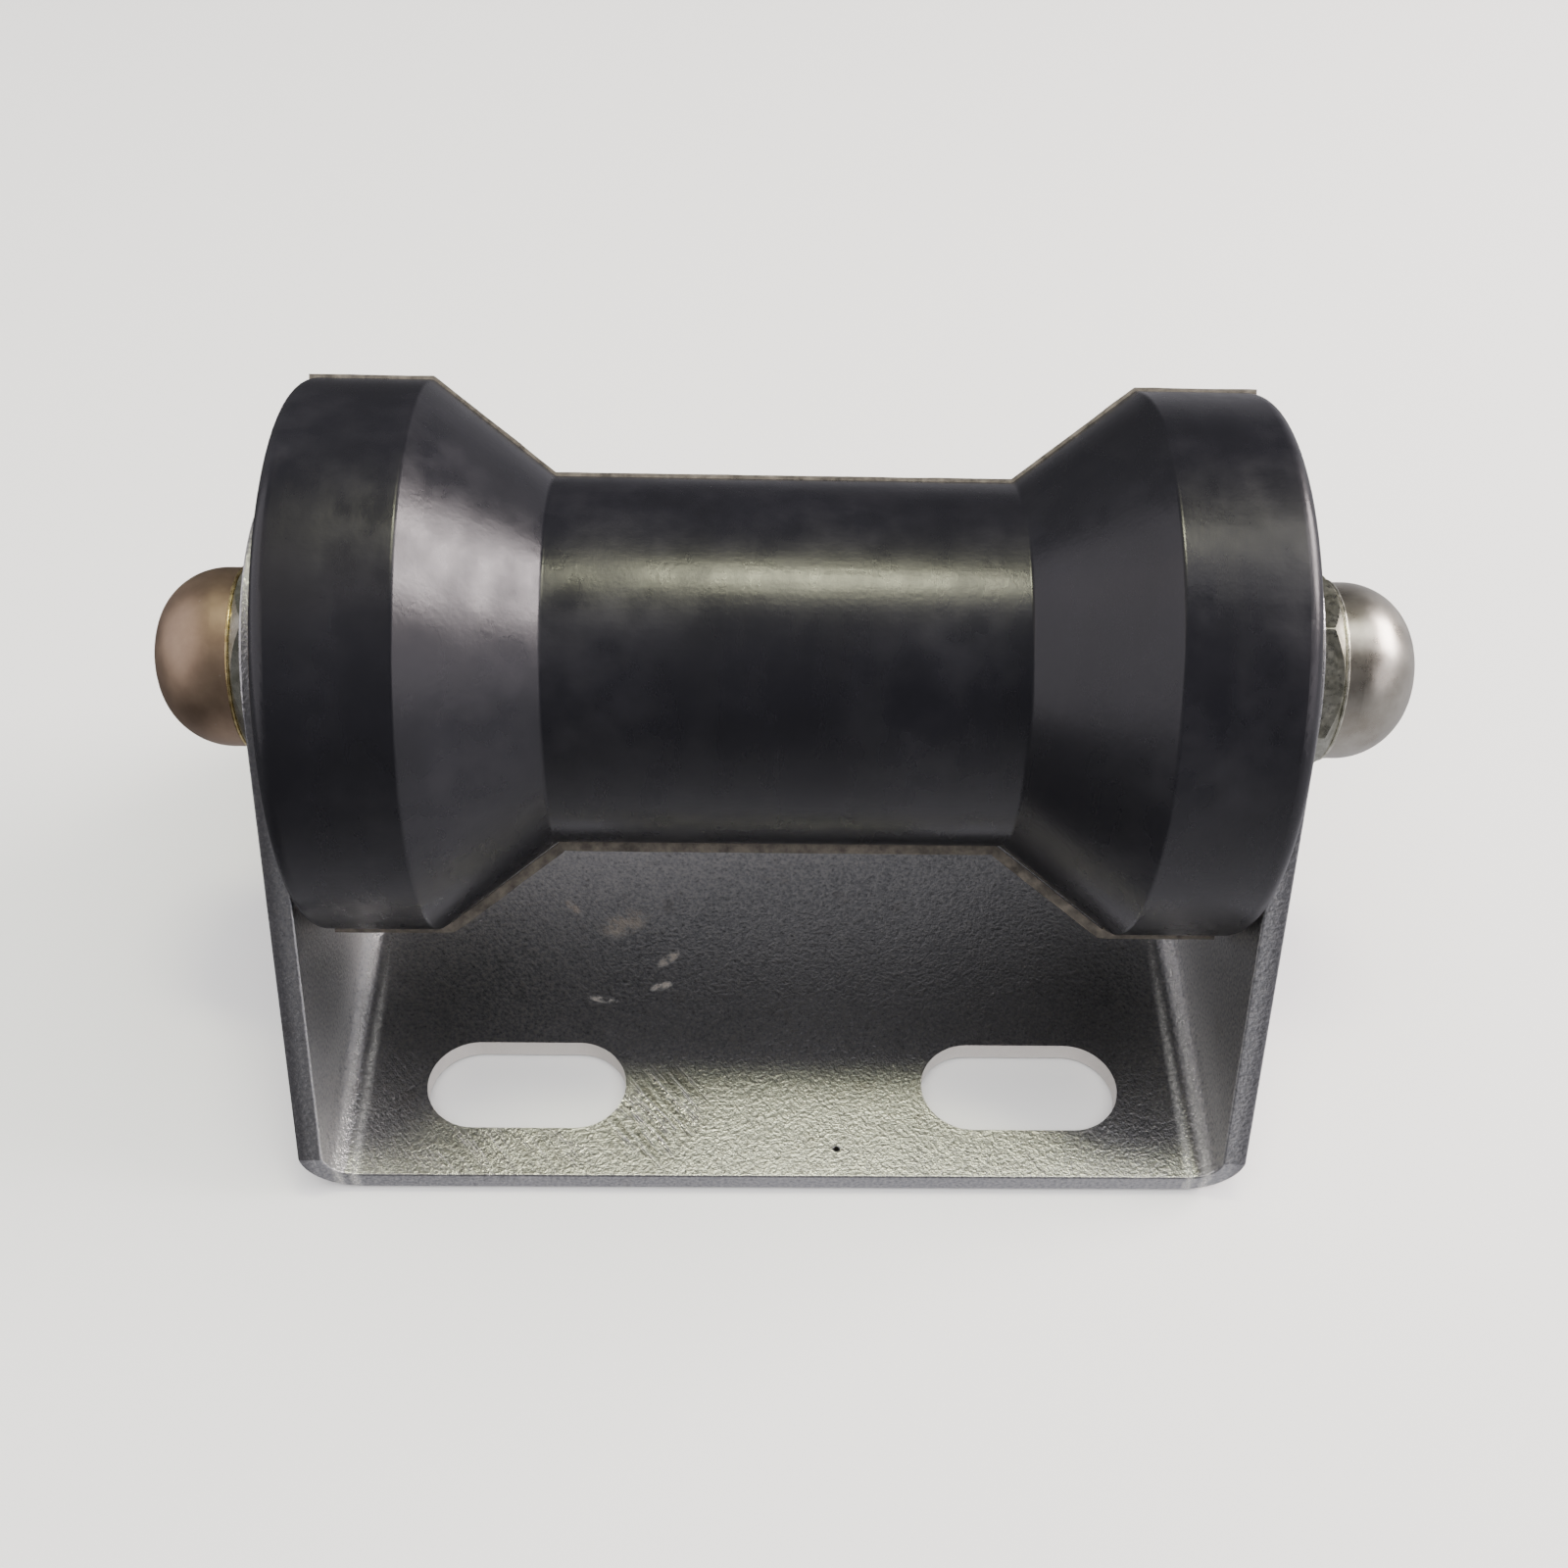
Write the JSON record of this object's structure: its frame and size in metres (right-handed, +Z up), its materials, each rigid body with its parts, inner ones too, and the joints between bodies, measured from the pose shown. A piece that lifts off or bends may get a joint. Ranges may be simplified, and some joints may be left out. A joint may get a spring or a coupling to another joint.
{
  "type": "bow roller",
  "caption": "Boat bow roller: a dumbbell-shaped black rubber roller on an axle between the ears of a folded stainless bracket with a slotted base and domed axle nuts.",
  "frame": {"origin": "centre of the bracket's flat underside", "axes": "+X along the roller's axle, -Y towards the front edge of the base, +Z up through the axle"},
  "size_m": [0.1626, 0.094, 0.09],
  "materials": {
    "stainless_sheet": "satin, blasted and lightly scratched",
    "roller_rubber": "satin, moulded",
    "stainless_turned": "turned",
    "nut_steel": "bright, lightly speckled",
    "cap_steel": "satin, faintly tinted",
    "nylon": "matte, moulded"
  },
  "bodies": {
    "bracket_and_axle": {"bracket": "stainless_sheet", "spacer_tube": "stainless_turned", "axle_stud": "stainless_turned", "flat_washer_right": "nut_steel", "nut_hex_left": "nut_steel", "nut_hex_right": "nut_steel", "nut_lock_ring_left": "nylon", "nut_lock_ring_right": "nylon", "nut_cap_left": "cap_steel", "nut_cap_right": "cap_steel"},
    "roller": {"roller_body": "roller_rubber", "roller_core_tube": "stainless_turned", "bush_left": "nylon", "bush_right": "nylon"},
    "washer_left": {"thrust_washer_left": "nylon"},
    "washer_right": {"thrust_washer_right": "nylon"}
  },
  "joints": [
    {"name": "roller_spin", "type": "hinge", "parent": "bracket_and_axle", "child": "roller", "pos_m": [0, 0, 0.055], "axis": [1, 0, 0], "continuous": true},
    {"name": "washer_left_spin", "type": "hinge", "parent": "bracket_and_axle", "child": "washer_left", "pos_m": [-0.0605, 0, 0.055], "axis": [1, 0, 0], "continuous": true},
    {"name": "washer_right_spin", "type": "hinge", "parent": "bracket_and_axle", "child": "washer_right", "pos_m": [0.0605, 0, 0.055], "axis": [1, 0, 0], "continuous": true}
  ]
}
